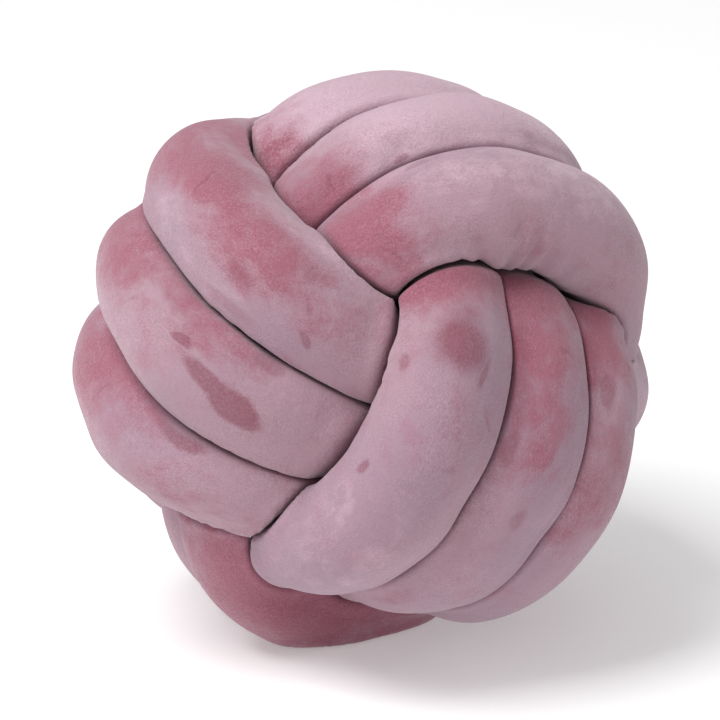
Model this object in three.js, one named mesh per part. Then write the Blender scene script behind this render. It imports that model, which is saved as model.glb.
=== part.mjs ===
// Knot cushion: one long stuffed velvet tube, wound and tucked into a ball.
// Millimetres, +Z up. The ball rests on Z = 0 with the origin below the middle of its box.
//
// The tube makes three courses of three turns. A course lies outside on two opposite sides of the
// ball, where its arcs show, and dives under the next course on the two sides between them, so that
// the three courses lock each other. The tube steps from lane to lane in a dive, where it is hidden.
import * as THREE from 'three';
import { mergeVertices } from 'three/addons/utils/BufferGeometryUtils.js';

const { lerp, smoothstep, degToRad } = THREE.MathUtils;

// The winding, measured from the middle of the ball.
const ARC_REACH = 123;        // to the middle line of an arc that shows
const DIVE_REACH = 76;        // to the middle line of a dive under the next course
const SQUARENESS = 2.5;       // exponent of a turn's rounded outline, where 2 is an ellipse
const DIVE_PITCH = 33;        // between lanes, squeezed together in a dive
const GATHER = 1.3;           // how soon the lanes draw together on the way into a dive
const TURN = 360;             // degrees
const TURN_IN = 120;          // where a course's first turn comes up from the core
const TURN_OUT = 60;          // where its last turn goes down again
const LANE_STEP = 30;         // degrees before and after the middle of a dive that moves on by a lane
const STEP_ANGLE = 10;        // between two points of the middle line

// The tube.
const TUBE_RADIUS = 29;       // where an arc shows
const DIVE_RADIUS = 27;       // in a dive and in the core
const CORE_BULGE = 22;        // what a squeezed dive swells further towards the core
const PRESS_GAP = 1.6;        // half the clearance between two stretches that press on each other
const BEND_ROOM = 0.8;        // part of its bend radius that the inside of a bend may fill
const OWN_STRETCH = 90;       // closer than this along the tube, it meets itself only in a bend
const NEAR = 116;             // a stretch further away than this presses on nothing
const END_FLAT = 0.35;        // radius of the flat at the tube's rounded ends, as part of its own
const FLOOR_SNAP = 0.001;     // points this close to the floor lie on it
const SIDES = 12;
const RINGS = 450;
const PRESS_SAMPLES = 4;      // points of the neighbouring stretches for each ring

// How the ball lies: its middle above the origin and the turn from the courses' own axes.
const BALL_CENTRE = new THREE.Vector3(4.5, -0.5, 140.5);
const BALL_TURN = new THREE.Euler(degToRad(4), degToRad(28), degToRad(-152.5));

// Each course reaches out along one axis, crosses along the second and has its lanes along the third.
const COURSES = {
  first: { out: 'x', across: 'y', lanes: 'z' },
  second: { out: 'y', across: 'z', lanes: 'x' },
  third: { out: 'z', across: 'x', lanes: 'y' },
};

// The arcs that show: for each side of a course, a row for each lane from -1 to 1. offset: place across
// the lanes in the middle of the arc; plusEnd, minusEnd: the same towards its two ends; lift: how far
// it stands proud; shift: how far it is pushed along its own way; plump: extra radius.
const ARCS = {
  first: {
    plus: [
      { offset: -64, plusEnd: -54, minusEnd: -54, lift: 4.5, shift: -3, plump: 1 },
      { offset: -6, plusEnd: -15, minusEnd: -6, lift: 8, shift: -7, plump: -1 },
      { offset: 49, plusEnd: 50, minusEnd: 44, lift: 5.5, shift: -5, plump: 0.5 },
    ],
    minus: [
      { offset: -50, plusEnd: -44, minusEnd: -54, lift: 2, shift: 0, plump: 0 },
      { offset: -6, plusEnd: -8, minusEnd: -4, lift: 4, shift: 0, plump: -1 },
      { offset: 38, plusEnd: 38, minusEnd: 40, lift: -2, shift: 0, plump: 0 },
    ],
  },
  second: {
    plus: [
      { offset: -51, plusEnd: -73, minusEnd: -46, lift: 7.5, shift: -2, plump: -1 },
      { offset: -11, plusEnd: -30, minusEnd: -2, lift: 2, shift: -2, plump: -0.5 },
      { offset: 40, plusEnd: 25, minusEnd: 44, lift: 1, shift: -2, plump: 0.5 },
    ],
    minus: [
      { offset: -48, plusEnd: -46, minusEnd: -50, lift: 1, shift: 0, plump: 0 },
      { offset: 0, plusEnd: -2, minusEnd: 3, lift: 3, shift: 1, plump: 0 },
      { offset: 46, plusEnd: 48, minusEnd: 44, lift: 0, shift: 0, plump: 0 },
    ],
  },
  third: {
    plus: [
      { offset: -58, plusEnd: -50, minusEnd: -52, lift: -1, shift: 0, plump: 1 },
      { offset: -5, plusEnd: -8, minusEnd: -4, lift: 3, shift: 0, plump: -2 },
      { offset: 42, plusEnd: 45, minusEnd: 40, lift: 5, shift: 0, plump: 1 },
    ],
    minus: [
      { offset: -50, plusEnd: -44, minusEnd: -50, lift: 1, shift: 3, plump: 0 },
      { offset: -1, plusEnd: -1, minusEnd: -1, lift: 5, shift: 3, plump: 0.5 },
      { offset: 50, plusEnd: 48, minusEnd: 48, lift: 2, shift: 3, plump: 0 },
    ],
  },
};

// The tube's ways through the core, in the courses' own axes.
const START_IN_CORE = [[-8, 4, -24], [-6, 30, -20], [-15, 56, -27]];
const CORE_CROSSING = [[27, 63, 28], [7, 45, 21], [-8, 20, 32], [-20, -6, 46], [-29, -27, 62]];
const END_IN_CORE = [[57, 22, 27], [42, 16, 8], [26, 2, -4], [14, -17, -6]];

// An arc's place across the lanes, bowed from its - end (sin = -1) over its middle to its + end.
function acrossLanes({ offset, plusEnd, minusEnd }, sin) {
  return offset + (plusEnd - minusEnd) / 2 * sin + ((plusEnd + minusEnd) / 2 - offset) * sin ** 2;
}

// A lane's number, which moves on from -1 to 0 and 1 in the course's second and third + dives.
function laneAt(degrees) {
  const stepIn = (middle) => smoothstep(degrees, middle - LANE_STEP, middle + LANE_STEP);
  return -1 + stepIn(1.25 * TURN) + stepIn(2.25 * TURN);
}

// A point of the tube's middle line. 0 degrees is the middle of the arc on the course's + side and 90
// degrees is the dive on its + side.
function turnPoint(course, degrees) {
  const { out, across, lanes } = COURSES[course];
  const cos = Math.cos(degToRad(degrees));
  const sin = Math.sin(degToRad(degrees));
  const lane = laneAt(degrees);
  const arc = ARCS[course][cos >= 0 ? 'plus' : 'minus'][Math.round(lane) + 1];

  const reach = Math.sqrt(ARC_REACH ** 2 - arc.offset ** 2) + arc.lift;
  const outline = (Math.abs(cos) / reach) ** SQUARENESS + (Math.abs(sin) / DIVE_REACH) ** SQUARENESS;
  const fromMiddle = outline ** (-1 / SQUARENESS);
  const inArc = Math.abs(cos) ** GATHER;
  const outOfDive = smoothstep(Math.abs(cos), 0, 0.6);

  const point = new THREE.Vector3();
  point[out] = fromMiddle * cos;
  point[across] = fromMiddle * sin + arc.shift * outOfDive;
  point[lanes] = lerp(DIVE_PITCH * lane, acrossLanes(arc, sin), inArc);
  return {
    point,
    radius: lerp(DIVE_RADIUS, TUBE_RADIUS + arc.plump, outOfDive),
    bulge: CORE_BULGE * (1 - outOfDive),
  };
}

function corePoints(places) {
  return places.map(([x, y, z]) => ({ point: new THREE.Vector3(x, y, z), radius: DIVE_RADIUS, bulge: 0 }));
}

// The same way through the core, for a later course: its axes are those of the course before, moved on.
function movedOn(places) {
  return places.map(([x, y, z]) => [z, x, y]);
}

function windingPoints() {
  const points = [...corePoints(START_IN_CORE)];
  const crossings = { first: CORE_CROSSING, second: movedOn(CORE_CROSSING), third: END_IN_CORE };
  for (const course of Object.keys(COURSES)) {
    for (let degrees = TURN_IN; degrees <= 3 * TURN + TURN_OUT; degrees += STEP_ANGLE) {
      points.push(turnPoint(course, degrees));
    }
    points.push(...corePoints(crossings[course]));
  }
  const lying = new THREE.Matrix4().makeRotationFromEuler(BALL_TURN).setPosition(BALL_CENTRE);
  points.forEach(({ point }) => point.applyMatrix4(lying));
  return points;
}

// Evenly spaced stations on a smooth line through the winding's points.
function stationsAlong(points, line, count) {
  const length = line.getLength();
  return Array.from({ length: count + 1 }, (_, i) => {
    const onLine = line.getUtoTmapping(i / count) * (points.length - 1);
    const before = points[Math.floor(onLine)];
    const after = points[Math.min(Math.ceil(onLine), points.length - 1)];
    return {
      centre: line.getPoint(onLine / (points.length - 1)),
      along: length * i / count,
      radius: lerp(before.radius, after.radius, onLine % 1),
      bulge: lerp(before.bulge, after.bulge, onLine % 1),
    };
  });
}

// How far the stuffing reaches from a station's centre: to its own skin, or to where it meets the
// neighbouring stretches, the inside of its own bend, or what the ball rests on.
function pressedReach(station, direction, neighbours) {
  const { centre, radius, bulge, endDistance } = station;
  const inward = BALL_CENTRE.clone().sub(centre).normalize();
  const fromEnd = Math.max(0, radius - endDistance);
  const skin = Math.sqrt(Math.max(radius ** 2 - fromEnd ** 2, (END_FLAT * radius) ** 2));
  let reach = skin + bulge * Math.max(0, direction.dot(inward));
  for (const { apart, share, gap } of neighbours) {
    const towards = direction.dot(apart);
    if (towards > 0) {
      reach = Math.min(reach, share / towards - gap);
    }
  }
  if (direction.z < 0) {
    reach = Math.min(reach, centre.z / -direction.z);
  }
  return reach;
}

// What presses on a station: the way to each other point of the tube, and where the two meet. A fuller
// stretch takes more room. On the inside of a bend the tube meets its own stretch and folds no tighter.
function neighboursOf(station, others, spacing) {
  const found = [];
  for (const other of others) {
    const alongTube = Math.abs(other.along - station.along);
    const apart = other.centre.clone().sub(station.centre);
    if (alongTube > OWN_STRETCH && apart.length() < NEAR) {
      const share = (apart.lengthSq() + station.radius ** 2 - other.radius ** 2) / 2;
      found.push({ apart, share, gap: PRESS_GAP });
    } else if (alongTube > spacing / 2 && alongTube <= OWN_STRETCH) {
      found.push({ apart, share: BEND_ROOM * apart.lengthSq() / 2, gap: 0 });
    }
  }
  return found;
}

// The tube starts as a straight round bar, one unit of depth for each ring, and each ring is then
// carried to its station on the winding and pressed into shape there.
function knotTube() {
  const points = windingPoints();
  const line = new THREE.CatmullRomCurve3(points.map(({ point }) => point), false, 'centripetal');
  line.arcLengthDivisions = 10 * points.length;
  const length = line.getLength();
  const stations = stationsAlong(points, line, RINGS);
  const others = stationsAlong(points, line, RINGS * PRESS_SAMPLES);
  const { normals, binormals } = line.computeFrenetFrames(RINGS, false);
  stations.forEach((station) => {
    station.endDistance = Math.min(station.along, length - station.along);
    station.neighbours = neighboursOf(station, others, length / RINGS);
  });

  const round = new THREE.Shape().absarc(0, 0, 1, 0, 2 * Math.PI);
  const bar = new THREE.ExtrudeGeometry(round, {
    depth: RINGS, steps: RINGS, curveSegments: SIDES / 2, bevelEnabled: false,
  });
  bar.deleteAttribute('normal');
  bar.deleteAttribute('uv');
  const tube = mergeVertices(bar);
  const places = tube.getAttribute('position');
  for (let i = 0; i < places.count; i += 1) {
    const ring = Math.round(places.getZ(i));
    const station = stations[ring];
    const direction = normals[ring].clone().multiplyScalar(places.getX(i));
    direction.addScaledVector(binormals[ring], places.getY(i)).normalize();
    const skin = direction.clone().multiplyScalar(pressedReach(station, direction, station.neighbours));
    skin.add(station.centre);
    places.setXYZ(i, skin.x, skin.y, Math.abs(skin.z) < FLOOR_SNAP ? 0 : skin.z);
  }
  tube.computeVertexNormals();
  return tube;
}

const velvet = new THREE.MeshStandardMaterial({ color: 0xc2919f, roughness: 0.85, metalness: 0 });
const knot = new THREE.Mesh(knotTube(), velvet);
knot.name = 'knot_tube';

const cushion = new THREE.Group();
cushion.add(knot);

export default cushion;
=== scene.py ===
# %% [markdown]
# # A velvet knot cushion
#
# The cushion is one long tube of short-pile velvet, stuffed with fibre, wound into a ball and tucked
# in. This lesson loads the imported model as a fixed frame, draws the same winding again with a finer
# tube, presses neighbouring stretches of tube into each other, lets Blender's cloth swell the skin,
# and then gives the velvet its pile.

# %% Load the frame
import math

import bpy
import numpy as np
from mathutils import Euler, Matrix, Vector


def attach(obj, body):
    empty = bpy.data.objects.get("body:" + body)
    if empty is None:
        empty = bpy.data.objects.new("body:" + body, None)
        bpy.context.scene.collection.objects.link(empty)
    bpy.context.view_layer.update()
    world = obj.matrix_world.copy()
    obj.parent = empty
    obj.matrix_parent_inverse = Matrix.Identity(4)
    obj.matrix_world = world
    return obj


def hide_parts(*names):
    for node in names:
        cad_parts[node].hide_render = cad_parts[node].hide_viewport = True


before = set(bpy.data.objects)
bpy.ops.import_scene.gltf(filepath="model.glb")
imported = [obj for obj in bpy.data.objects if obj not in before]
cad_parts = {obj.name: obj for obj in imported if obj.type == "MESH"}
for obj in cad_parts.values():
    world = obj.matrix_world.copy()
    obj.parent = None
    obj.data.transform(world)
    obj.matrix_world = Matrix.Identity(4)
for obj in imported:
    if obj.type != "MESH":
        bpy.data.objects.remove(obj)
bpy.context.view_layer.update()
NODE = "knot_tube"

# %% [markdown]
# ## The camera
#
# The ball is seen from a little above, from far enough away that it hardly shows perspective. A long
# lens on a distant camera gives that. It aims a few millimetres to one side of the ball's middle.

# %% Camera
BALL_CENTRE = Vector((0.0045, -0.0005, 0.1405))
CAMERA_ELEVATION = math.radians(20)
CAMERA_DISTANCE = 2.76
CAMERA_SEES_TO = 20  # metres
PICTURE_SIDE = 720  # pixels, and the sensor is as wide as the picture
BALL_SCALE = 1927  # pixels to a metre at the ball
SENSOR = 36.0  # millimetres
AIM_ASIDE = Vector((-0.0077, 0, 0))


def placed(name, data):
    """A new object in the scene."""
    thing = bpy.data.objects.new(name, data)
    bpy.context.scene.collection.objects.link(thing)
    return thing


def add_camera():
    data = bpy.data.cameras.new("camera")
    data.sensor_width = SENSOR
    data.lens = SENSOR * BALL_SCALE * CAMERA_DISTANCE / PICTURE_SIDE
    data.clip_end = CAMERA_SEES_TO
    camera = placed("camera", data)
    away = Vector((0, -math.cos(CAMERA_ELEVATION), math.sin(CAMERA_ELEVATION)))
    camera.location = BALL_CENTRE + AIM_ASIDE + CAMERA_DISTANCE * away
    camera.rotation_euler = Euler((math.pi / 2 - CAMERA_ELEVATION, 0, 0))
    bpy.context.scene.camera = camera
    return camera


camera = add_camera()
print("lens", round(camera.data.lens), "mm")

# %% [markdown]
# ## The winding
#
# A ball knot has three courses of three turns. Each course lies outside on two opposite sides of the
# ball, where its arcs show, and dives under the next course on the two sides in between. A turn seen
# along its lanes is a rounded rectangle, which a superellipse draws with one formula. A short table
# then moves each arc a little, because a hand-wound knot is never even.

# %% Sizes of the winding, in metres and degrees
ARC_REACH = 0.123  # from the middle of the ball to the middle line of an arc that shows
DIVE_REACH = 0.076  # from there to the middle line of a dive under the next course
SQUARENESS = 2.5  # exponent of a turn's rounded outline, where 2 is an ellipse
DIVE_PITCH = 0.033  # between lanes, squeezed together in a dive
GATHER = 1.3  # how soon the lanes draw together on the way into a dive
TURN = 360
TURN_IN = 120  # where a course's first turn comes up from the core
TURN_OUT = 60  # where its last turn goes down again
LANE_STEPS_AT = (1.25, 2.25)  # turns at which the tube moves on by a lane, in the middle of a dive
LANE_STEP = 30  # degrees before and after that middle in which it does so
STEP_ANGLE = 10  # between two points of the middle line
TUBE_RADIUS = 0.029  # where an arc shows
DIVE_RADIUS = 0.027  # in a dive and in the core
CORE_BULGE = 0.022  # what a squeezed dive swells further towards the core
CLEAR_OF_DIVE = 0.6  # cosine of the angle in a turn from which the tube is clear of its dive
ARC_END = (0.2, 0.8)  # sines between which an arc's middle girth passes into that of its end
MM = 0.001
# How the ball lies. Turning about Z first, then Y, then X is the order "ZYX" here.
BALL_TURN = Euler([math.radians(a) for a in (4, 28, -152.5)], "ZYX").to_matrix()

# %% Courses, arcs and ways through the core
# Each course: the axis it reaches out along, the one it crosses and the one of its lanes.
COURSES = {"first": (0, 1, 2), "second": (1, 2, 0), "third": (2, 0, 1)}
# For each side of a course, a row for each lane from -1 to 1, in millimetres. Its columns: offset,
# plus_end and minus_end, an arc's place across the lanes in its middle and at its two ends; lift, how
# far it stands proud; shift, how far it is pushed along; and plump, plus_plump and minus_plump, its
# extra radius in the middle and at its two ends.
ARCS = {
    ("first", 1): [
        (-63, -59, -54, 4.5, -6, 1, -1, 6),
        (-6, -26, -6, 8, -8, -1, 2, 4),
        (47.5, 42, 41, 5.5, -13, 1.5, 3.5, 6),
    ],
    ("first", -1): [
        (-50, -44, -54, 2, 0, 0, 0, 0),
        (-6, -8, -4, 4, 0, -1, -1, -1),
        (38, 38, 40, -5, 0, 0, 0, 0),
    ],
    ("second", 1): [
        (-51, -73, -46, 7.5, -2, -1, -2, -1),
        (-11, -30, -2, 2, -2, -0.5, 1, -0.5),
        (42, 27, 50, 1, -2, 2, 3, 1.5),
    ],
    ("second", -1): [
        (-48, -46, -50, 1, 0, 0, 0, 0),
        (0, -2, 3, 3, 1, 0, 0, 0),
        (38, 36, 42, 3, 0, 0, 0, 0),
    ],
    ("third", 1): [
        (-58, -66, -52, -3, 0, 1, 3, 1),
        (-6.5, -26, -4, 3, 0, -2, -1, -1),
        (41, 33, 40, 5, -8, 1, 4, 0),
    ],
    ("third", -1): [
        (-50, -44, -50, 1, 3, 0, 0, 0),
        (-1, -1, -1, 4, -8, 0.5, -4, 0.5),
        (50, 48, 48, 2, 3, 0, 0, 0),
    ],
}
# The tube's ways through the core: x, y and z in millimetres, in the courses' own axes.
START_IN_CORE = [(-8, 4, -24), (-6, 30, -20), (-15, 56, -27)]
CORE_CROSSING = [(27, 63, 28), (7, 45, 21), (-8, 20, 32), (-20, -6, 46), (-29, -27, 62)]
END_IN_CORE = [(57, 22, 27), (42, 16, 8), (26, 2, -4), (14, -17, -6)]
print(sum(len(rows) for rows in ARCS.values()), "arcs in", len(COURSES), "courses")


# %% A point of a turn
def smooth_step(value, low, high):
    part = min(1, max(0, (value - low) / (high - low)))
    return part * part * (3 - 2 * part)


def lane_at(degrees):
    """The lane's number, which moves on from -1 to 0 and 1 while the tube is hidden in a dive."""
    dives = [turns * TURN for turns in LANE_STEPS_AT]
    return -1 + sum(smooth_step(degrees, dive - LANE_STEP, dive + LANE_STEP) for dive in dives)


def turn_point(course, degrees):
    """(x, y, z, radius, bulge) of the middle line, in the courses' own axes."""
    cos, sin = math.cos(math.radians(degrees)), math.sin(math.radians(degrees))
    lane = lane_at(degrees)
    row = [MM * number for number in ARCS[course, 1 if cos >= 0 else -1][round(lane) + 1]]
    offset, plus_end, minus_end, lift, shift, plump, plus_plump, minus_plump = row
    reach = math.sqrt(ARC_REACH**2 - offset**2) + lift
    outline = (abs(cos) / reach) ** SQUARENESS + (abs(sin) / DIVE_REACH) ** SQUARENESS
    from_middle = outline ** (-1 / SQUARENESS)
    bow = (plus_end + minus_end) / 2 - offset
    across_lanes = offset + (plus_end - minus_end) / 2 * sin + bow * sin**2
    in_arc = abs(cos) ** GATHER
    out_of_dive = smooth_step(abs(cos), 0, CLEAR_OF_DIVE)
    plump += ((plus_plump if sin > 0 else minus_plump) - plump) * smooth_step(abs(sin), *ARC_END)

    point = [0, 0, 0, DIVE_RADIUS + (TUBE_RADIUS + plump - DIVE_RADIUS) * out_of_dive]
    out, across, lanes = COURSES[course]
    point[out] = from_middle * cos
    point[across] = from_middle * sin + shift * out_of_dive
    point[lanes] = DIVE_PITCH * lane * (1 - in_arc) + across_lanes * in_arc
    return (*point, CORE_BULGE * (1 - out_of_dive))


# %% The middle line of the tube
def core_points(places):
    return [(MM * x, MM * y, MM * z, DIVE_RADIUS, 0) for x, y, z in places]


def winding():
    """Rows of (x, y, z, radius, bulge) along the tube, and where each course starts among them."""
    moved_on = [(z, x, y) for x, y, z in CORE_CROSSING]
    crossings = {"first": CORE_CROSSING, "second": moved_on, "third": END_IN_CORE}
    rows = core_points(START_IN_CORE)
    starts = {}
    for course in COURSES:
        starts[course] = len(rows)
        for degrees in range(TURN_IN, 3 * TURN + TURN_OUT + 1, STEP_ANGLE):
            rows.append(turn_point(course, degrees))
        rows += core_points(crossings[course])
    return np.array(rows), starts


knots, course_starts = winding()
print(len(knots), "points on the middle line")

# %% [markdown]
# ## A smooth line through the points
#
# A centripetal Catmull-Rom curve passes through every point without loops or cusps, so it is the
# safe choice where the points lie unevenly, as they do between an arc and a dive.

# %% Smooth line
LINE_SAMPLES = 16  # between two points of the winding


def smooth_line(points, samples):
    """Dense points on a centripetal Catmull-Rom curve, and each one's place among the given points."""
    before, after = 2 * points[:1] - points[1:2], 2 * points[-1:] - points[-2:-1]
    padded = np.concatenate([before, points, after])
    p0, p1, p2, p3 = (padded[i : len(padded) - 3 + i, None] for i in range(4))
    spans = ((p0, p1), (p1, p2), (p2, p3))
    d0, d1, d2 = (np.sqrt(np.linalg.norm(b - a, axis=2, keepdims=True)) for a, b in spans)
    start = d1 * ((p1 - p0) / d0 - (p2 - p0) / (d0 + d1) + (p2 - p1) / d1)
    finish = d1 * ((p2 - p1) / d1 - (p3 - p1) / (d1 + d2) + (p3 - p2) / d2)
    t = (np.arange(samples) / samples)[None, :, None]
    line = (
        (2 * t**3 - 3 * t**2 + 1) * p1
        + (t**3 - 2 * t**2 + t) * start
        + (3 * t**2 - 2 * t**3) * p2
        + (t**3 - t**2) * finish
    )
    places = np.arange(len(points) - 1)[:, None] + t[0, :, 0]
    return np.vstack([line.reshape(-1, 3), points[-1:]]), np.append(places.ravel(), len(points) - 1)


line, line_places = smooth_line(knots[:, :3], LINE_SAMPLES)
line = line @ np.array(BALL_TURN).T + np.array(BALL_CENTRE)
line_along = np.concatenate([[0], np.cumsum(np.linalg.norm(np.diff(line, axis=0), axis=1))])
print("the tube is", round(line_along[-1], 2), "m long")

# %% [markdown]
# ## A tube along the line, with Geometry Nodes
#
# The real piece is a round tube of velvet, so its mesh is one circle carried along the line. Curve to
# Mesh does this and turns the circle as little as it can on the way, so the pile's grain doesn't
# spiral. The line is resampled to even rings first. Each vertex keeps the middle of its own ring and
# its place along the tube, which the next steps need. One helper adds a node, sets it up and wires
# its inputs in a single call, here and in the material.

# %% A helper for node trees
def wire(tree, kind, inputs=(), **settings):
    """A node with its settings made, and its inputs set to a value or linked from another's output."""
    node = tree.nodes.new(kind)
    for name, value in settings.items():
        setattr(node, name, value)
    for socket, value in dict(inputs).items():
        if isinstance(value, bpy.types.NodeSocket):
            tree.links.new(value, node.inputs[socket])
        else:
            node.inputs[socket].default_value = value
    return node


# %% The tube's node tree
RINGS = 2400
SIDES = 78


def kept_on_curve(tree, curve, name, kind, value):
    """The curve with a value kept on its points, to be found again on the mesh."""
    inputs = {"Geometry": curve, "Name": name, "Value": value}
    settings = {"data_type": kind, "domain": "POINT"}
    return wire(tree, "GeometryNodeStoreNamedAttribute", inputs, **settings).outputs["Geometry"]


def tube_tree():
    tree = bpy.data.node_groups.new("stuffed_tube", "GeometryNodeTree")
    sockets = {"Line": "Geometry", "Rings": "Int", "Sides": "Int", "Radius": "Float", "Velvet": "Material"}
    for name, kind in sockets.items():
        tree.interface.new_socket(name, in_out="INPUT", socket_type="NodeSocket" + kind)
    tree.interface.new_socket("Tube", in_out="OUTPUT", socket_type="NodeSocketGeometry")
    given = tree.nodes.new("NodeGroupInput").outputs
    place = wire(tree, "GeometryNodeInputPosition").outputs["Position"]
    travelled = wire(tree, "GeometryNodeSplineParameter").outputs["Length"]

    line = {"Curve": given["Line"], "Count": given["Rings"]}
    curve = wire(tree, "GeometryNodeResampleCurve", line, mode="COUNT").outputs["Curve"]
    curve = kept_on_curve(tree, curve, "middle", "FLOAT_VECTOR", place)
    curve = kept_on_curve(tree, curve, "along", "FLOAT", travelled)
    round_one = {"Resolution": given["Sides"], "Radius": given["Radius"]}
    circle = wire(tree, "GeometryNodeCurvePrimitiveCircle", round_one).outputs["Curve"]
    swept = {"Curve": curve, "Profile Curve": circle, "Fill Caps": True}
    mesh = wire(tree, "GeometryNodeCurveToMesh", swept).outputs["Mesh"]
    real = wire(tree, "GeometryNodeRealizeInstances", {"Geometry": mesh}).outputs["Geometry"]
    covered = {"Geometry": real, "Material": given["Velvet"]}
    finished = wire(tree, "GeometryNodeSetMaterial", covered).outputs["Geometry"]
    wire(tree, "NodeGroupOutput", {"Tube": finished})
    return tree


# %% From the line to a plain mesh
def set_input(modifier, name, value):
    for item in modifier.node_group.interface.items_tree:
        if item.name == name and item.in_out == "INPUT":
            modifier[item.identifier] = value


def line_object(points):
    curve = bpy.data.curves.new("middle_line", "CURVE")
    curve.dimensions = "3D"
    spline = curve.splines.new("POLY")
    spline.points.add(len(points) - 1)
    spline.points.foreach_set("co", np.column_stack([points, np.ones(len(points))]).ravel())
    return placed("middle_line", curve)


def swept_tube(points, material):
    """The tube as a plain mesh object: its vertices run ring by ring, and side by side in each ring."""
    holder = line_object(points)
    modifier = holder.modifiers.new("tube", "NODES")
    modifier.node_group = tube_tree()
    sizes = {"Rings": RINGS, "Sides": SIDES, "Radius": TUBE_RADIUS, "Velvet": material}
    for name, value in sizes.items():
        set_input(modifier, name, value)
    evaluated = holder.evaluated_get(bpy.context.evaluated_depsgraph_get())
    mesh = bpy.data.meshes.new_from_object(evaluated)
    mesh.name = "velvet_tube"
    bpy.data.objects.remove(holder)
    return placed("velvet_tube", mesh)


velvet = bpy.data.materials.new("velvet")
tube = swept_tube(line, velvet)
print("tube of", len(tube.data.vertices), "vertices and", len(tube.data.polygons), "faces")


# %% The tube as arrays
def in_mm(metres):
    return f"{metres / MM:.1f} mm"


def vertex_grid(mesh, name):
    """An attribute of every vertex as an array of rings by sides."""
    layer = mesh.attributes[name]
    field, shape = "vector", (RINGS, SIDES, 3)
    if layer.data_type == "FLOAT":
        field, shape = "value", (RINGS, SIDES)
    values = np.empty(math.prod(shape))
    layer.data.foreach_get(field, values)
    return values.reshape(shape)


skin = vertex_grid(tube.data, "position")
middles = vertex_grid(tube.data, "middle")[:, 0]
along = vertex_grid(tube.data, "along")[:, 0]
directions = skin - middles[:, None]
directions /= np.linalg.norm(directions, axis=2, keepdims=True)
places = np.interp(along, line_along, line_places)
print("tube of", RINGS, "rings,", in_mm(along[1]), "apart")

# %% [markdown]
# ## Pressing the stuffing
#
# Where two stretches of a stuffed tube press on each other, their skins meet in a flat. The flat is
# where both are equally deep in the other, which geometry calls the power diagram: half of
# (distance squared + own radius squared - other radius squared), divided by how far the ray runs
# towards the other. Each vertex keeps its ray from the ring's middle, and only its reach changes. A
# rounded minimum of skin and flat gives the soft shoulder that a velvet tube has beside a groove, and
# stuffing that is held back there swells the skin a little just before it.

# %% Sizes of the press
PRESS_GAP = 0.0003  # half the clearance between two stretches that press on each other
YIELD = 0.4  # how far off the middle between two stretches a fuller one may push
BEND_ROOM = 0.93  # part of its bend radius that the inside of a bend may fill
OWN_STRETCH = 0.09  # closer than this along the tube, it meets itself only in a bend
OWN_RING = 1.5  # rings this many spacings apart are too near to measure a bend by
NEAR = 0.116  # a stretch further away than this presses on nothing
SHOULDER = 0.003  # how far from a groove the skin starts to round down into it
END_FLAT = 0.2  # radius of the flat at the tube's rounded ends, as part of its own
LIP = 0.08  # how much the skin swells just before a groove
LIP_FROM = 1.5  # where that swelling starts: room for a ray, in parts of its free reach
OPEN = 1.0  # the room of a ray that meets nothing
ASKEW = 1e-6  # a ray that runs less than this towards a thing never meets it
ring_radius = np.interp(places, np.arange(len(knots)), knots[:, 3])
ring_bulge = np.interp(places, np.arange(len(knots)), knots[:, 4])
print("radius before the press", in_mm(ring_radius.min()), "to", in_mm(ring_radius.max()))


# %% How far the stuffing would reach
def free_reach():
    """How far each ray reaches in a stretch that nothing presses on."""
    from_end = np.maximum(0, ring_radius - np.minimum(along, along[-1] - along))
    cap = np.sqrt(np.maximum(ring_radius**2 - from_end**2, (END_FLAT * ring_radius) ** 2))
    inward = np.array(BALL_CENTRE) - middles
    inward /= np.linalg.norm(inward, axis=1, keepdims=True)
    facing = np.clip(np.einsum("rsk,rk->rs", directions, inward), 0, 1)
    return cap[:, None] + ring_bulge[:, None] * facing


def with_lips(free, room):
    """Stuffing that is held back beside a groove swells the skin next to it."""
    held = np.clip((LIP_FROM - room / free) / (LIP_FROM - 1), 0, 1)
    return free * (1 + LIP * held**2 * (3 - 2 * held))


# %% What it meets
def room_for(ring, spacing):
    """How far each ray of a ring may run before it meets another stretch or its own bend."""
    apart = middles - middles[ring]
    distance2 = np.einsum("ij,ij->i", apart, apart)
    away = np.abs(along - along[ring])
    other = (away > OWN_STRETCH) & (distance2 < NEAR**2)
    own = (away <= OWN_STRETCH) & (away > OWN_RING * spacing)
    fuller = (ring_radius[ring] ** 2 - ring_radius**2) / 2
    half = distance2 / 2
    meeting = half + np.clip(fuller, -YIELD * half, YIELD * half)
    share = np.where(other, meeting, BEND_ROOM * half)
    gap = np.where(other, PRESS_GAP, 0)
    near = other | own
    towards = directions[ring] @ apart[near].T
    facing = towards > ASKEW
    reach = np.where(facing, share[near] / np.where(facing, towards, 1) - gap[near], OPEN)
    return reach.min(axis=1)


def floor_room():
    downward = -directions[..., 2]
    heights = middles[:, 2][:, None]
    return np.where(downward > ASKEW, heights / np.maximum(downward, ASKEW), OPEN)


# %% The pressed skin
def soft_min(a, b, width):
    """The smaller of two reaches, rounded where they are closer than the width."""
    mix = np.clip(0.5 + 0.5 * (b - a) / width, 0, 1)
    return b + (a - b) * mix - width * mix * (1 - mix)


def pressed_to(wanted):
    """The wanted reach with its shoulders, where the room for each ray has the last word."""
    return np.minimum(soft_min(wanted, room, SHOULDER), room)


free = free_reach()
room = np.array([room_for(ring, along[1]) for ring in range(RINGS)])
room = np.minimum(room, floor_room())
reach = pressed_to(with_lips(free, room))
print("pressed:", round(100 * float((room < free).mean())), "% of the skin meets something")
print("shortest ray", in_mm(reach.min()), "and longest", in_mm(reach.max()))

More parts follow.
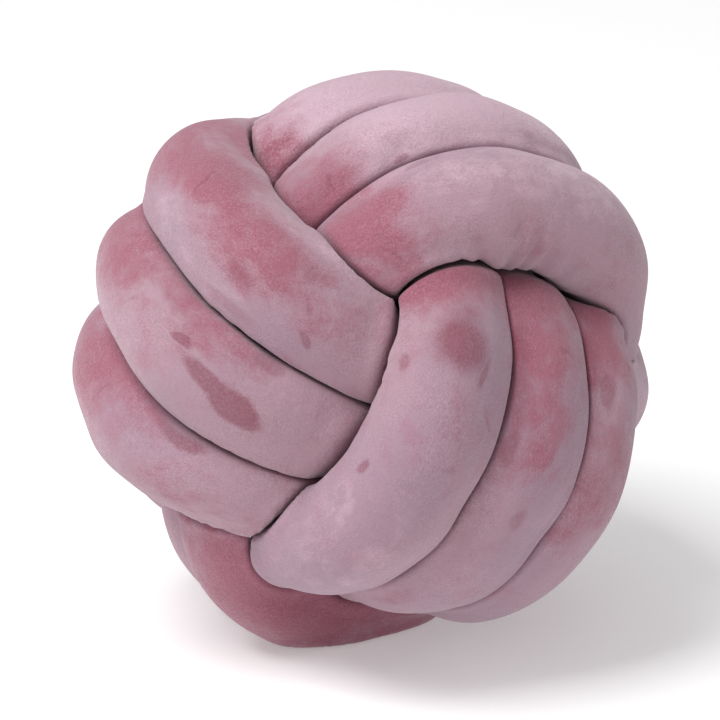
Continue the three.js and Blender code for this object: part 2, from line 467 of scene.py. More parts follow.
# %% [markdown]
# ## Letting the cloth swell
#
# Stuffing pushes velvet outwards until the cloth pulls back, which rounds the shoulders beside a groove
# and draws small folds on the inside of a bend. Blender's Cloth does this with pressure. A voxel
# remesh would weld neighbouring stretches together across their narrow grooves, so the simulation runs
# on every third ring and side of the tube itself. It starts a little smaller and has no gravity. Only
# how far each point moved out along its own ray is kept, within set limits, and smoothed, and then
# pressed again, so that stretches stay apart.

# %% Sizes of the cloth
COARSER = 3  # the cloth has every third ring and side
START_SMALLER = 0.985  # part of the reach that the cloth starts from
CLOTH_FRAMES = 20
MOST_OUT = 0.005  # a point may move out this far
MOST_IN = 0.001  # and in this far
CLOTH_SETTINGS = {
    "quality": 5,
    "mass": 0.3,
    "tension_stiffness": 5,
    "compression_stiffness": 5,
    "shear_stiffness": 2,
    "bending_stiffness": 0.5,
    "use_pressure": True,
    "uniform_pressure_force": 4.0,
}


# %% The cloth simulation
def coarse_mesh(grid):
    rings, sides = grid.shape[:2]
    quads = [
        (r * sides + s, r * sides + (s + 1) % sides, (r + 1) * sides + (s + 1) % sides, (r + 1) * sides + s)
        for r in range(rings - 1)
        for s in range(sides)
    ]
    first_cap = tuple(reversed(range(sides)))
    last_cap = tuple(range((rings - 1) * sides, rings * sides))
    mesh = bpy.data.meshes.new("swelling_cloth")
    mesh.from_pydata(grid.reshape(-1, 3).tolist(), [], [first_cap, *quads, last_cap])
    return mesh


def swollen(grid):
    """The grid's points after the cloth has swelled for some frames."""
    scene = bpy.context.scene
    sheet = placed("swelling_cloth", coarse_mesh(grid))
    cloth = sheet.modifiers.new("cloth", "CLOTH")
    for name, value in CLOTH_SETTINGS.items():
        setattr(cloth.settings, name, value)
    cloth.settings.effector_weights.gravity = 0
    cloth.point_cache.frame_start = 1
    cloth.point_cache.frame_end = CLOTH_FRAMES
    for frame_number in range(1, CLOTH_FRAMES + 1):
        scene.frame_set(frame_number)
    settled = sheet.evaluated_get(bpy.context.evaluated_depsgraph_get()).to_mesh()
    places_now = np.empty(3 * len(settled.vertices))
    settled.vertices.foreach_get("co", places_now)
    sheet.to_mesh_clear()
    scene.frame_set(1)
    bpy.data.objects.remove(sheet)
    return places_now.reshape(grid.shape)


# %% Smoothing and spreading what the cloth did
def evened(grid):
    """Each number averaged with its neighbours along and round the tube."""
    padded = np.concatenate([grid[:1], grid, grid[-1:]])
    grid = (padded[:-2] + 2 * padded[1:-1] + padded[2:]) / 4
    return (np.roll(grid, 1, axis=1) + 2 * grid + np.roll(grid, -1, axis=1)) / 4


def finer(grid):
    """A coarse grid of numbers spread evenly over all rings and sides."""
    rings = np.arange(RINGS) / COARSER
    sides = np.arange(SIDES) / COARSER
    low = np.minimum(rings.astype(int), grid.shape[0] - 2)
    part = np.clip(rings - low, 0, 1)[:, None]
    grid = grid[low] * (1 - part) + grid[low + 1] * part
    left = sides.astype(int)
    part = sides - left
    return grid[:, left] * (1 - part) + grid[:, (left + 1) % grid.shape[1]] * part


def cloth_swell():
    """The reach after the cloth has swelled, before it is pressed again."""
    start = reach * START_SMALLER
    coarse = (slice(None, None, COARSER), slice(None, None, COARSER))
    before = (middles[:, None] + start[..., None] * directions)[coarse]
    after = swollen(before)
    outwards = np.einsum("rsk,rsk->rs", after - before, directions[coarse])
    print("cloth moved", in_mm(outwards.min()), "to", in_mm(outwards.max()))
    return start + finer(evened(evened(np.clip(outwards, -MOST_IN, MOST_OUT))))


reach = pressed_to(cloth_swell())

# %% [markdown]
# ## Finding a place on the tube
#
# Everything listed below is found as a maker would point to it: by its course, by degrees along the
# winding, and by how far it is tilted from the outward side of the tube. Two helpers turn that into a
# ring's number and an angle round the tube.

# %% Places
outward = middles - np.array(BALL_CENTRE)
running = np.gradient(middles, axis=0)
running /= np.linalg.norm(running, axis=1, keepdims=True)
side_angles = np.arange(SIDES) * 2 * math.pi / SIDES


def ring_at(course, degrees):
    place = course_starts[course] + (degrees - TURN_IN) / STEP_ANGLE
    return int(np.searchsorted(places, place))


def angle_at(ring, tilt):
    """The angle round the tube of a direction tilted from the outward side, to the left of its run."""
    out = outward[ring] - running[ring] * (outward[ring] @ running[ring])
    out /= np.linalg.norm(out)
    left = np.cross(out, running[ring])
    aim = math.cos(math.radians(tilt)) * out + math.sin(math.radians(tilt)) * left
    return math.atan2(aim @ directions[ring, SIDES // 4], aim @ directions[ring, 0])


def around_from(angle):
    """How far round the tube each side lies from an angle, in metres."""
    return TUBE_RADIUS * ((side_angles - angle + math.pi) % (2 * math.pi) - math.pi)


def places_on_straight_tube():
    """Where each vertex was before the tube was wound, with the tube's run along Z."""
    straight = np.empty((RINGS, SIDES, 3))
    straight[..., 0] = TUBE_RADIUS * np.cos(side_angles)
    straight[..., 1] = TUBE_RADIUS * np.sin(side_angles)
    straight[..., 2] = along[:, None]
    return straight


for course in COURSES:
    print(course, "course: its first arc's middle is at ring", ring_at(course, TURN))

# %% [markdown]
# ## Uneven stuffing and gathers
#
# Fibre stuffing is never even, so the tube has soft lumps. Where an arc bends hard, the cloth on the
# inside of the bend is too long and draws up in small gathers. Both only change how far the skin
# reaches, and the room of each ray has the last word.

# %% Lumps
LUMP_SEED = 7
LUMP_WAVES = 40
LUMP_LENGTHS = (0.03, 0.09)  # metres, from one lump to the next
LUMP_HEIGHT = 0.0007


def stuffing_lumps():
    """A sum of gentle waves in random directions over the straight tube."""
    chance = np.random.default_rng(LUMP_SEED)
    straight = places_on_straight_tube()
    lumps = np.zeros((RINGS, SIDES))
    for _ in range(LUMP_WAVES):
        direction = chance.normal(size=3)
        direction /= np.linalg.norm(direction)
        wavelength = chance.uniform(*LUMP_LENGTHS)
        phase = chance.uniform(0, 2 * math.pi)
        lumps += np.cos(2 * math.pi * (straight @ direction) / wavelength + phase)
    return LUMP_HEIGHT * lumps / math.sqrt(LUMP_WAVES / 2)


# %% Gathers
GATHER_SWAY = 0.25  # how far a gather's ridges wander, in parts of their spacing
GATHER_SWAY_RATE = 1.9  # how fast they wander, in radians for each spacing
GATHER_FADE = 0.4  # part of its half length over which a gather fades out
# course, from and to degrees, tilt, half width, depth and spacing in millimetres
GATHERS = [
    ("third", 1072, 1106, 92, 16, 2.8, 14),
    ("second", 1092, 1116, 84, 10, 0.9, 13),
    ("first", 1092, 1120, -84, 10, 0.8, 14),
    ("third", 735, 765, 84, 10, 1.0, 14),
    ("second", 738, 768, -80, 10, 1.0, 13),
]


def gather(course, from_degrees, to_degrees, tilt, half_width, depth, spacing):
    first, last = ring_at(course, from_degrees), ring_at(course, to_degrees)
    middle = (first + last) // 2
    half_length = (along[last] - along[first]) / 2
    lengthways = (along - along[middle]) / half_length
    sideways = around_from(angle_at(middle, tilt)) / (MM * half_width)
    phase = np.random.default_rng(from_degrees).uniform(0, 6)
    pitch = MM * spacing
    swayed = along + GATHER_SWAY * pitch * np.sin(along / pitch * GATHER_SWAY_RATE + phase)
    ridges = 0.5 + 0.5 * np.cos(2 * math.pi * swayed / pitch)
    window = np.clip(1 + GATHER_FADE / 2 - np.abs(lengthways), 0, GATHER_FADE) / GATHER_FADE
    return MM * depth * np.outer(ridges * window, np.exp(-(sideways**2)))


relief = stuffing_lumps() - np.sum([gather(*row) for row in GATHERS], axis=0)
reach = np.minimum(reach + relief, room)
skin = middles[:, None] + reach[..., None] * directions
print("lumps and gathers from", in_mm(relief.min()), "to", in_mm(relief.max()))

# %% [markdown]
# ## Where the velvet has been brushed
#
# Velvet looks pale where its pile stands towards the light and deep rose where it has been stroked the
# other way. On this cushion the deep areas gather where each arc comes out from under the next one, and
# single finger marks lie between them. The raised areas are partly pile that stands up and partly painted
# highlight on the tops and edges of arcs that face the light. Broad areas are soft, so they are kept as a
# number on each vertex. A small mark has a clearer edge than the vertices could draw, so the material makes
# it.

# %% Broad brushed areas
AREA_EDGE = 1.5  # an area ends at this many times its size, and starts to fade one size before
# course, degrees, tilt in degrees, half length and half width in millimetres, strength
BROAD_AREAS = [
    ("first", 1060, 50, 30, 60, 0.85),
    ("first", 1077, 38, 26, 30, 0.90),
    ("first", 1096, 20, 34, 24, 0.80),
    ("first", 706, 50, 30, 36, 0.80),
    ("first", 731, 60, 30, 17, 0.60),
    ("first", 348, 58, 32, 34, 0.80),
    ("first", 366, 72, 24, 16, 0.55),
    ("third", 1119, -5, 22, 34, 0.90),
    ("third", 762, 15, 28, 34, 0.90),
    ("third", 407, 42, 24, 40, 0.90),
    ("second", 1126, 15, 18, 50, 0.95),
    ("second", 768, 33, 26, 50, 1.00),
    ("second", 753, 34, 22, 28, 0.85),
    ("second", 740, 30, 18, 18, 0.70),
    ("second", 402, 45, 30, 32, 0.80),
    ("second", 378, 40, 34, 28, 0.40),
    ("third", 892, 55, 84, 64, 0.95),
]
# The same columns, for lighter areas: partly pile that stands up to the light, partly painted highlight on
# the tops and edges of arcs that face the light.
RAISED_AND_HIGHLIT_AREAS = [
    ("first", 1076, -25, 14, 14, 0.40),
    ("first", 1104, 62, 40, 9, 0.45),
    ("first", 1094, -48, 26, 9, 0.30),
    ("first", 722, 10, 22, 12, 0.15),
    ("third", 1112, -52, 22, 10, 0.50),
    ("third", 757, -30, 16, 12, 0.60),
    ("third", 1080, -20, 60, 30, 0.45),
    ("third", 730, -10, 60, 40, 0.90),
    ("third", 380, 0, 80, 60, 1.00),
    ("second", 1062, 30, 40, 30, 0.25),
    ("second", 755, 68, 24, 9, 0.40),
    ("first", 871, 35, 26, 34, 0.75),
]

# %% [markdown]
# ## Brushed areas on the other arcs
#
# The arcs at the back and underneath are handled too. Nobody needs to know just where, so a fixed
# seed places a broad area near each end of an arc, and one finger mark between.

# %% Scattered areas and marks
SCATTER_SEED = 5
# For each course, the degrees of its arcs' middles.
SCATTERED_ARCS = {"first": (180, 540), "second": (180, 540, 900), "third": (180, 540)}
FROM_MIDDLE = 44  # degrees to a scattered area
AREA_TILT = 40  # the most that a scattered area is tilted either way
AREA_SIZE = (26, 34)  # half length and half width in millimetres
AREA_STRENGTH = (0.6, 0.95)
MARK_PLACE, MARK_TILT, MARK_SLANT = 25, 50, 30  # degrees at most, either way
MARK_SIZE = (12, 6)
MARK_EDGE, MARK_STRENGTH = 0.4, 0.6


def scattered():
    """Rows with the columns of the broad areas, and rows with those of the finger marks."""
    chance = np.random.default_rng(SCATTER_SEED)
    arcs = [(course, middle) for course, middles in SCATTERED_ARCS.items() for middle in middles]
    areas, marks = [], []
    for course, middle in arcs:
        for end in (-1, 1):
            tilt = chance.uniform(-AREA_TILT, AREA_TILT)
            strength = chance.uniform(*AREA_STRENGTH)
            areas.append((course, middle + FROM_MIDDLE * end, tilt, *AREA_SIZE, strength))
        degrees = middle + chance.uniform(-MARK_PLACE, MARK_PLACE)
        tilt = chance.uniform(-MARK_TILT, MARK_TILT)
        slant = chance.uniform(-MARK_SLANT, MARK_SLANT)
        marks.append((course, degrees, tilt, *MARK_SIZE, slant, MARK_EDGE, MARK_STRENGTH))
    return areas, marks


scattered_areas, scattered_marks = scattered()
print(len(scattered_areas), "scattered areas and", len(scattered_marks), "marks")


# %% The areas as numbers on the tube
def brushed_area(course, degrees, tilt, half_length, half_width, strength):
    ring = ring_at(course, degrees)
    lengthways = (along - along[ring]) / (MM * half_length)
    sideways = around_from(angle_at(ring, tilt)) / (MM * half_width)
    apart = np.sqrt(lengthways[:, None] ** 2 + sideways[None, :] ** 2)
    return strength * np.clip(AREA_EDGE - apart, 0, 1)


brushed = np.max([brushed_area(*area) for area in BROAD_AREAS + scattered_areas], axis=0)
# Raised pile, and painted highlight where the tops and edges of arcs face the light.
raised_and_highlit = np.max([brushed_area(*area) for area in RAISED_AND_HIGHLIT_AREAS], axis=0)
print("brushed on average", round(float(brushed.mean()), 2))

# %% [markdown]
# ## What the material reads
#
# The pile's pattern was on the cloth before the tube was wound, so the material reads each vertex's place
# on the straight tube: two coordinates round it and one along it. Noise on these coordinates has no seam
# and follows every bend. The brushed areas, the raised areas with their painted highlight, and how near a
# groove a vertex is, which sets the painted shade there, are kept beside it.

# %% Attributes
GROOVE_SHADE_FROM = 1.10  # where the painted shade starts near a groove: room, in parts of the free reach
GROOVE_SHADE_SOFT = 0.18  # how gradually it does so, in the same parts


def keep_on_vertices(mesh, name, values, kind="FLOAT"):
    layer = mesh.attributes.new(name, kind, "POINT")
    field = "vector" if kind == "FLOAT_VECTOR" else "value"
    layer.data.foreach_set(field, np.ascontiguousarray(values).ravel())


# Painted shade near grooves, growing as the room for a ray falls below its free reach.
groove_shade = np.clip((GROOVE_SHADE_FROM - room / free) / GROOVE_SHADE_SOFT, 0, 1)
tube.data.vertices.foreach_set("co", skin.ravel())
tube.data.polygons.foreach_set("use_smooth", [True] * len(tube.data.polygons))
keep_on_vertices(tube.data, "straight", places_on_straight_tube(), "FLOAT_VECTOR")
for name, values in {"brushed": brushed, "raised_and_highlit": raised_and_highlit, "groove_shade": groove_shade}.items():
    keep_on_vertices(tube.data, name, values)
tube.data.update()
print("kept on the vertices:", [layer.name for layer in tube.data.attributes])

# %% [markdown]
# ## Helpers for the material
#
# The velvet needs some dozens of nodes, but of few kinds: arithmetic, a soft step from one number to
# another, noise and a mix of colours. With a helper for each, a step of the material is one line.

# %% Node helpers
def calculate(tree, operation, a, b=0.0, c=0.0):
    return wire(tree, "ShaderNodeMath", {0: a, 1: b, 2: c}, operation=operation).outputs[0]


def spread(tree, value, low, high, to_low=0.0, to_high=1.0):
    """A soft step: to_low up to the low value, and to_high from the high one."""
    limits = {"Value": value, "From Min": low, "From Max": high, "To Min": to_low, "To Max": to_high}
    return wire(tree, "ShaderNodeMapRange", limits, interpolation_type="SMOOTHSTEP").outputs["Result"]


def centred(tree, pattern, size):
    """A pattern of 0 to 1 made one of this size about 0."""
    return calculate(tree, "MULTIPLY_ADD", pattern, size, -size / 2)


def noise(tree, place, scale, detail=2.0, roughness=0.5, distortion=0.0):
    shape = {"Scale": scale, "Detail": detail, "Roughness": roughness, "Distortion": distortion}
    pattern = wire(tree, "ShaderNodeTexNoise", {"Vector": place, **shape}, noise_dimensions="3D")
    return pattern.outputs["Fac"]


def mixed(tree, amount, first, second):
    node = wire(tree, "ShaderNodeMix", {0: amount, 6: first, 7: second}, data_type="RGBA")
    return node.outputs[2]


# %% A new node group
FLOAT, VECTOR = "NodeSocketFloat", "NodeSocketVector"


def new_group(name, inputs, outputs):
    """An empty group, the values given to it, and the results that it gives."""
    tree = bpy.data.node_groups.new(name, "ShaderNodeTree")
    for title, kind in inputs.items():
        tree.interface.new_socket(title, in_out="INPUT", socket_type=kind)
    for title in outputs:
        tree.interface.new_socket(title, in_out="OUTPUT", socket_type=FLOAT)
    given = tree.nodes.new("NodeGroupInput").outputs
    result = tree.nodes.new("NodeGroupOutput").inputs
    return tree, given, result


# %% [markdown]
# ## The pile
#
# Short plush has a fine stipple of single tufts, small streaks where tufts lean together, and soft
# smudges and blotches a few centimetres across. Thin hairlines run here and there where the pile has
# parted. One node group makes them all from the straight place, for both the colour and the bump.

# %% Pile group
PILE_SCALES = {"Tuft Scale": 1200.0, "Streak Scale": 170.0, "Smudge Scale": 70.0, "Blotch Scale": 30.0}
HAIRLINE_WIDTH = 0.012  # in parts of the noise's range
HAIRLINE_PATCHES = 60.0  # scale of the noise that says where there are hairlines
HAIRLINES_FROM, HAIRLINES_FULL = 0.54, 0.62  # values of that noise


def pile_group():
    scales = {name: FLOAT for name in PILE_SCALES}
    outputs = ("Stipple", "Streaks", "Smudges", "Blotches", "Hairlines")
    tree, given, result = new_group("velvet_pile", {"Place": VECTOR, **scales}, outputs)
    place, streak_scale = given["Place"], given["Streak Scale"]
    lines = noise(tree, place, streak_scale, distortion=1.6)
    near_line = calculate(tree, "ABSOLUTE", calculate(tree, "SUBTRACT", lines, 0.5))
    hairline = spread(tree, near_line, 0.0, HAIRLINE_WIDTH, 1.0, 0.0)
    patches = noise(tree, place, HAIRLINE_PATCHES)
    here_and_there = spread(tree, patches, HAIRLINES_FROM, HAIRLINES_FULL)
    made = {
        "Stipple": noise(tree, place, given["Tuft Scale"], detail=3, roughness=0.7),
        "Streaks": noise(tree, place, streak_scale, detail=3, roughness=0.6, distortion=0.4),
        "Smudges": noise(tree, place, given["Smudge Scale"], detail=3, distortion=0.3),
        "Blotches": noise(tree, place, given["Blotch Scale"], detail=4, roughness=0.55, distortion=0.6),
        "Hairlines": calculate(tree, "MULTIPLY", hairline, here_and_there),
    }
    for name, value in made.items():
        tree.links.new(value, result[name])
    return tree


# %% [markdown]
# ## Finger marks and creases
#
# A finger that presses the pile down leaves a small oval with a clear edge. Each mark is one copy of a node
# group: it measures how far a point is from the mark's middle, in parts of the mark's own size. Some copies
# are wide bands of painted shade where an arc lies under or beside another. A long thin mark of the same
# kind draws a small crease in the cloth: a dent in the bump, and painted shade along the fold.

# %% Finger mark group
MARK_VECTORS = {name: VECTOR for name in ("Place", "Middle", "Half Size")}
MARK_NUMBERS = {name: FLOAT for name in ("Wobble", "Turned", "Slant", "Edge", "Strength")}


def vector_math(tree, operation, inputs):
    return wire(tree, "ShaderNodeVectorMath", inputs, operation=operation).outputs[0]


def turned_about(tree, axis, place, angle):
    inputs = {"Vector": place, "Angle": angle}
    return wire(tree, "ShaderNodeVectorRotate", inputs, rotation_type=axis).outputs[0]


def finger_mark_group():
    tree, given, result = new_group("finger_mark", MARK_VECTORS | MARK_NUMBERS, ("Mask",))
    apart = vector_math(tree, "SUBTRACT", {0: given["Place"], 1: given["Middle"]})
    upright = turned_about(tree, "Z_AXIS", apart, given["Turned"])
    level = turned_about(tree, "X_AXIS", upright, given["Slant"])
    scaled = vector_math(tree, "DIVIDE", {0: level, 1: given["Half Size"]})
    length = wire(tree, "ShaderNodeVectorMath", {0: scaled}, operation="LENGTH")
    wobbled = calculate(tree, "ADD", length.outputs["Value"], given["Wobble"])
    inner = calculate(tree, "SUBTRACT", 1.0, given["Edge"])
    inside = spread(tree, wobbled, inner, 1.0, 1.0, 0.0)
    tree.links.new(calculate(tree, "MULTIPLY", inside, given["Strength"]), result["Mask"])
    return tree


# %% Where the marks and creases are
# course, degrees, tilt, half length and half width in millimetres, slant in degrees, edge softness,
# strength
FINGER_MARKS_AND_SHADE_BANDS = [
    ("first", 746.5, 11, 15, 9.5, 22, 0.35, 0.70),
    ("first", 741, 19, 15, 6, 18, 0.45, 0.65),
    ("first", 735, 35, 6, 3.5, 0, 0.5, 0.60),
    ("first", 748, 66, 10, 6, 0, 0.6, 0.45),
    ("first", 382, 58, 12, 5, 0, 0.5, 0.55),
    ("first", 1098, -15, 9, 8, 0, 0.7, 0.40),
    ("first", 1108, 24, 9, 8, 0, 0.8, 0.35),
    ("first", 1113, -34, 5.5, 2, 40, 0.5, 0.50),
    ("first", 1099, -52, 18, 5, 0, 0.7, 0.35),
    ("second", 1110, 10, 15, 19, 0, 0.6, 0.75),
    ("second", 1115, 2, 12, 12, 0, 0.8, 0.45),
    ("second", 1106, -18, 9, 3, 20, 0.6, 0.50),
    ("second", 1106, 65, 6, 4, 0, 0.6, 0.45),
    ("second", 1080, 63, 5, 4.5, 0, 0.5, 0.60),
    # The next four rows are painted shade, not marks: the tops of arcs under the arc above, and strips
    # beside a groove on the side away from the light.
    ("second", 1126, 10, 10, 40, 0, 0.9, 0.45),
    ("second", 772, 20, 18, 45, 0, 0.9, 0.75),
    ("second", 752, 66, 45, 10, 0, 0.95, 0.60),
    ("second", 395, 66, 45, 10, 0, 0.95, 0.50),
    ("second", 733, 59, 11, 5, 0, 0.6, 0.40),
    ("second", 723, 19, 7, 5, 0, 0.6, 0.35),
    # Painted shade at the top of this arc, under the arc above.
    ("second", 408, 40, 16, 40, 0, 0.9, 0.70),
    ("second", 388, 44, 11, 7, 0, 0.5, 0.50),
    ("third", 1104, -47, 7, 3, 0, 0.6, 0.30),
    ("third", 743, 62, 5, 2.5, 0, 0.5, 0.45),
    ("third", 895, 60, 60, 30, 0, 0.9, 0.70),
]
# The same columns, for creases where the cloth folds a little; each is a dent in the bump and painted shade
# along its fold.
CREASES_WITH_SHADE = [
    ("first", 1078, 20, 1.8, 14, -20, 0.95, 0.45),
    ("first", 1083, 5, 1.6, 9, 25, 0.95, 0.30),
    ("first", 1110, -5, 1.8, 9, -35, 0.95, 0.35),
    ("first", 722, 20, 1.6, 8, 20, 0.95, 0.30),
    ("first", 360, 45, 1.8, 9, 15, 0.95, 0.35),
    ("second", 1098, -40, 1.8, 9, 25, 0.95, 0.35),
    ("second", 1088, -10, 1.6, 8, -15, 0.95, 0.25),
    ("second", 752, 5, 1.8, 8, 20, 0.95, 0.35),
    ("third", 757, 40, 1.8, 10, 15, 0.95, 0.35),
    ("third", 1117, 30, 1.6, 9, -20, 0.95, 0.30),
    ("third", 1090, 60, 1.6, 10, 20, 0.95, 0.25),
]


# %% Drawing the marks
STRAY_DETAIL = 2.0


def stray(tree, place, scale, distance):
    """The place, moved a little by noise, so that outlines drawn on it waver."""
    pattern = wire(tree, "ShaderNodeTexNoise", {"Vector": place, "Scale": scale, "Detail": STRAY_DETAIL})
    about_zero = vector_math(tree, "SUBTRACT", {0: pattern.outputs["Color"], 1: (0.5, 0.5, 0.5)})
    return vector_math(tree, "MULTIPLY_ADD", {0: about_zero, 1: (distance, distance, distance), 2: place})


def all_marks(tree, group, place, wobble, rows):
    """One group node for each row, and the strongest mask of them all."""
    strongest = 0.0
    for course, degrees, tilt, half_length, half_width, slant, edge, strength in rows:
        ring = ring_at(course, degrees)
        angle = angle_at(ring, tilt)
        inputs = {
            "Place": place,
            "Wobble": wobble,
            "Middle": (TUBE_RADIUS * math.cos(angle), TUBE_RADIUS * math.sin(angle), along[ring]),
            "Turned": -angle,
            "Slant": math.radians(slant),
            "Half Size": (TUBE_RADIUS, MM * half_width, MM * half_length),
            "Edge": edge,
            "Strength": strength,
        }
        mark = wire(tree, "ShaderNodeGroup", inputs, node_tree=group)
        strongest = calculate(tree, "MAXIMUM", strongest, mark.outputs["Mask"])
    return strongest


# %% [markdown]
# ## The velvet
#
# A Principled BSDF with a strong, rough sheen gives the milky edge that pile has at a low angle. The base
# colour starts from two pale tones and takes on rose where the pile is brushed, a lighter tone where pile
# is raised or a highlight is painted on tops and edges that face the light, and a deep tone in finger
# marks, creases, grooves and hairlines. In grooves, creases and some bands among the marks that deep tone
# is painted shade. The bump comes from the same pile group.

# %% Colours
def srgb(red, green, blue):
    """The linear colour that a shader takes."""
    def linear(part):
        part /= 255
        return part / 12.92 if part <= 0.04045 else ((part + 0.055) / 1.055) ** 2.4

    return (linear(red), linear(green), linear(blue), 1)


PALE = srgb(170, 138, 150)
MAUVE = srgb(160, 131, 145)
# A lighter tone for raised pile, also the painted highlight on tops and edges of arcs that face the light.
RAISED_AND_HIGHLIT_TONE = srgb(192, 162, 175)
ROSE = srgb(154, 94, 110)
# A deep tone for pressed pile and hairlines; in grooves, creases and the listed shade bands it is painted
# shade.
DEEP_PILE_AND_SHADE_TONE = srgb(128, 66, 82)

# %% Strengths of the pattern
BLOTCHES, SMUDGES, STREAKS = 2.0, 1.0, 0.9  # how far each shifts the edge of the rose areas
RAISED_PILE_AND_HIGHLIGHT_HOLD = 0.5  # how far raised pile and painted highlight hold the rose back
ROSE_FROM, ROSE_FULL = -0.1, 1.05
HIGHLIT_FROM, HIGHLIT_FULL = 0.1, 0.9
MAUVE_SCALE, MAUVE_FROM, MAUVE_FULL = 11.0, 0.4, 0.65
STANDING_FROM, STANDING_FULL = 0.42, 0.68  # stipple where a tuft still stands up
ROSE_ON_STANDING, MARK_ON_STANDING = 0.75, 0.8  # part of the colour that such a tuft takes
SHADE_IN_GROOVES, IN_HAIRLINES = 0.75, 0.15  # how much of the deep tone shows there: painted shade in grooves, parted pile in hairlines
RUBBED_SCALE, RUBBED_FROM, RUBBED_TO, RUBBED_LEAST = 45.0, 0.35, 0.65, 0.35
TUFT_SHADE = 1.0  # how far single tufts make the colour lighter and darker
MARK_GRAIN = 0.16  # how far they fray the edge of a mark
MARK_STRAY = (60.0, 0.008)  # scale of the noise that a mark's outline wavers by, and metres
CREASE_STRAY = (160.0, 0.006)
STREAK_HEIGHT, CREASE_HEIGHT = 1.5, -1.5  # beside a stipple of 1
BUMP = {"Strength": 0.5, "Distance": 0.0012}
VELVET_SURFACE = {
    "Roughness": 0.9,
    "Specular IOR Level": 0.15,
    "Sheen Weight": 0.5,
    "Sheen Roughness": 0.45,
    "Sheen Tint": (0.85, 0.76, 0.82, 1),
}


# %% The colour of the velvet
def kept_attribute(tree, name, output="Fac"):
    return wire(tree, "ShaderNodeAttribute", attribute_name=name).outputs[output]


def on_tufts(tree, mask, standing, least):
    """A mask that takes less of a tuft that still stands up."""
    return calculate(tree, "MULTIPLY", mask, spread(tree, standing, 0.0, 1.0, 1.0, least))


def velvet_colour(tree, place, pile, pressed, crease_and_shade):
    raised_or_highlit = kept_attribute(tree, "raised_and_highlit")
    smudged = centred(tree, pile["Smudges"], SMUDGES)
    fine = calculate(tree, "ADD", smudged, centred(tree, pile["Streaks"], STREAKS))
    uneven = calculate(tree, "ADD", centred(tree, pile["Blotches"], BLOTCHES), fine)
    settled = calculate(tree, "MULTIPLY_ADD", raised_or_highlit, -RAISED_PILE_AND_HIGHLIGHT_HOLD, kept_attribute(tree, "brushed"))
    rose = spread(tree, calculate(tree, "ADD", settled, uneven), ROSE_FROM, ROSE_FULL)
    standing = spread(tree, pile["Stipple"], STANDING_FROM, STANDING_FULL)
    cool = spread(tree, noise(tree, place, MAUVE_SCALE), MAUVE_FROM, MAUVE_FULL)
    # The lighter tone: raised pile and painted highlight.
    highlit_amount = spread(tree, calculate(tree, "ADD", raised_or_highlit, fine), HIGHLIT_FROM, HIGHLIT_FULL)

    layers = [
        (highlit_amount, RAISED_AND_HIGHLIT_TONE),
        (on_tufts(tree, rose, standing, ROSE_ON_STANDING), ROSE),
        # finger marks, and the bands of painted shade listed among them
        (on_tufts(tree, pressed, standing, MARK_ON_STANDING), DEEP_PILE_AND_SHADE_TONE),
        # painted shade along the creases
        (crease_and_shade, DEEP_PILE_AND_SHADE_TONE),
        # painted shade in the grooves
        (calculate(tree, "MULTIPLY", kept_attribute(tree, "groove_shade"), SHADE_IN_GROOVES), DEEP_PILE_AND_SHADE_TONE),
        (calculate(tree, "MULTIPLY", pile["Hairlines"], IN_HAIRLINES), DEEP_PILE_AND_SHADE_TONE),
    ]
    colour = mixed(tree, cool, PALE, MAUVE)
    for amount, tone in layers:
        colour = mixed(tree, amount, colour, tone)
    return tufted(tree, place, pile, colour)


def tufted(tree, place, pile, colour):
    """The colour made lighter and darker by single tufts, less so where the pile is rubbed."""
    patches = noise(tree, place, RUBBED_SCALE)
    rubbed = spread(tree, patches, RUBBED_FROM, RUBBED_TO, RUBBED_LEAST, 1.0)
    tuft = calculate(tree, "SUBTRACT", pile["Stipple"], 0.5)
    shade = calculate(tree, "MULTIPLY_ADD", calculate(tree, "MULTIPLY", tuft, rubbed), TUFT_SHADE, 1.0)
    return vector_math(tree, "SCALE", {0: colour, "Scale": shade})


# %% The velvet material
def build_velvet(material):
    material.use_nodes = True
    tree = material.node_tree
    shader = tree.nodes["Principled BSDF"]
    for name, value in VELVET_SURFACE.items():
        shader.inputs[name].default_value = value
    place = kept_attribute(tree, "straight", "Vector")
    pile = wire(tree, "ShaderNodeGroup", {"Place": place, **PILE_SCALES}, node_tree=pile_group()).outputs
    group = finger_mark_group()
    grain = centred(tree, pile["Stipple"], MARK_GRAIN)
    marks = FINGER_MARKS_AND_SHADE_BANDS + scattered_marks
    # The finger marks' deep mask, with bands of painted shade among them.
    pressed = all_marks(tree, group, stray(tree, place, *MARK_STRAY), grain, marks)
    crease_and_shade = all_marks(tree, group, stray(tree, place, *CREASE_STRAY), grain, CREASES_WITH_SHADE)
    colour = velvet_colour(tree, place, pile, pressed, crease_and_shade)
    tree.links.new(colour, shader.inputs["Base Color"])

    height = calculate(tree, "MULTIPLY_ADD", pile["Streaks"], STREAK_HEIGHT, pile["Stipple"])
    height = calculate(tree, "MULTIPLY_ADD", crease_and_shade, CREASE_HEIGHT, height)
    bump = wire(tree, "ShaderNodeBump", {**BUMP, "Height": height})
    tree.links.new(bump.outputs["Normal"], shader.inputs["Normal"])


build_velvet(velvet)
print("velvet of", len(velvet.node_tree.nodes), "nodes, with", len(FINGER_MARKS_AND_SHADE_BANDS), "finger marks")

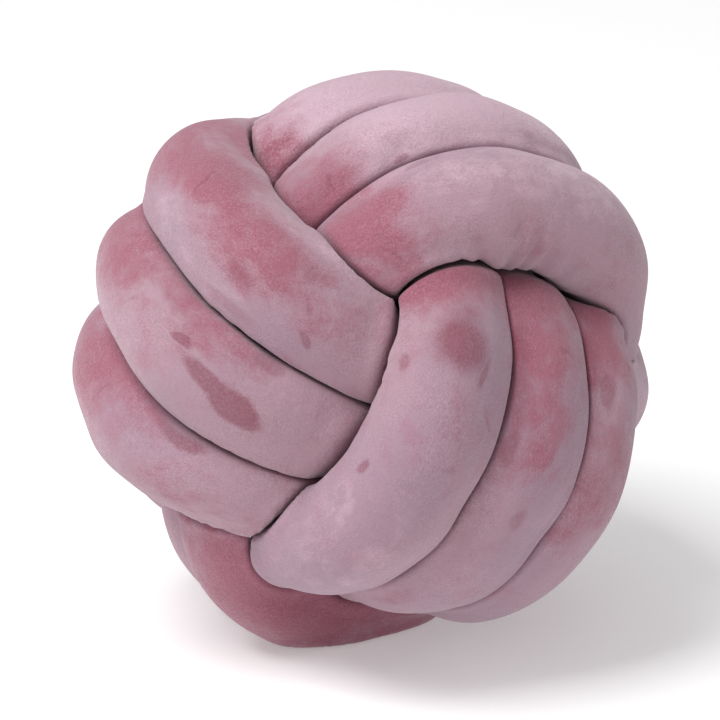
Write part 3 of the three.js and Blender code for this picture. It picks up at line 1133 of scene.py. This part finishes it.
# %% [markdown]
# ## Floor and light
#
# The cushion lies on pale paper that glows a little, as a light table does, which lifts it evenly.
# One large soft box high on the left models the arcs, a weak one in front opens the shadows, and an
# even world fills the rest.

# %% Floor
FLOOR_SIZE = 6.0
FLOOR_COLOUR = (0.82, 0.82, 0.82, 1)
PAPER = {
    "Base Color": FLOOR_COLOUR,
    "Roughness": 0.9,
    "Emission Color": FLOOR_COLOUR,
    "Emission Strength": 0.3,
}


def add_floor():
    half = FLOOR_SIZE / 2
    corners = [(-half, -half, 0), (half, -half, 0), (half, half, 0), (-half, half, 0)]
    mesh = bpy.data.meshes.new("floor")
    mesh.from_pydata(corners, [], [(0, 1, 2, 3)])
    floor = placed("floor", mesh)
    paper = bpy.data.materials.new("studio_paper")
    paper.use_nodes = True
    for name, value in PAPER.items():
        paper.node_tree.nodes["Principled BSDF"].inputs[name].default_value = value
    floor.data.materials.append(paper)
    return floor


floor = add_floor()
print("floor of", FLOOR_SIZE, "m")

# %% Light
WORLD = {"Color": (1.0, 1.0, 1.0, 1), "Strength": 0.5}
# name, place and size in metres, watts
SOFT_BOXES = [
    ("key_soft_box", (-1.15, -0.7, 2.45), 1.4, 64),
    ("fill_soft_box", (-0.7, -2.9, 1.1), 1.6, 8),
]


def add_world():
    world = bpy.data.worlds.new("studio")
    world.use_nodes = True
    for name, value in WORLD.items():
        world.node_tree.nodes["Background"].inputs[name].default_value = value
    bpy.context.scene.world = world


def add_light(name, place, size, watts):
    """A square soft box that faces the middle of the ball."""
    data = bpy.data.lights.new(name, "AREA")
    data.shape = "SQUARE"
    data.size = size
    data.energy = watts
    light = placed(name, data)
    light.location = place
    light.rotation_euler = (BALL_CENTRE - Vector(place)).to_track_quat("-Z", "Y").to_euler()


add_world()
for row in SOFT_BOXES:
    add_light(*row)
bpy.context.scene.view_settings.view_transform = "Standard"
print(len(SOFT_BOXES), "soft boxes")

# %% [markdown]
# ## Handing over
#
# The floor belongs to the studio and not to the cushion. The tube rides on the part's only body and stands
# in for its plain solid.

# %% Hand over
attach(tube, "root")
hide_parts(NODE)
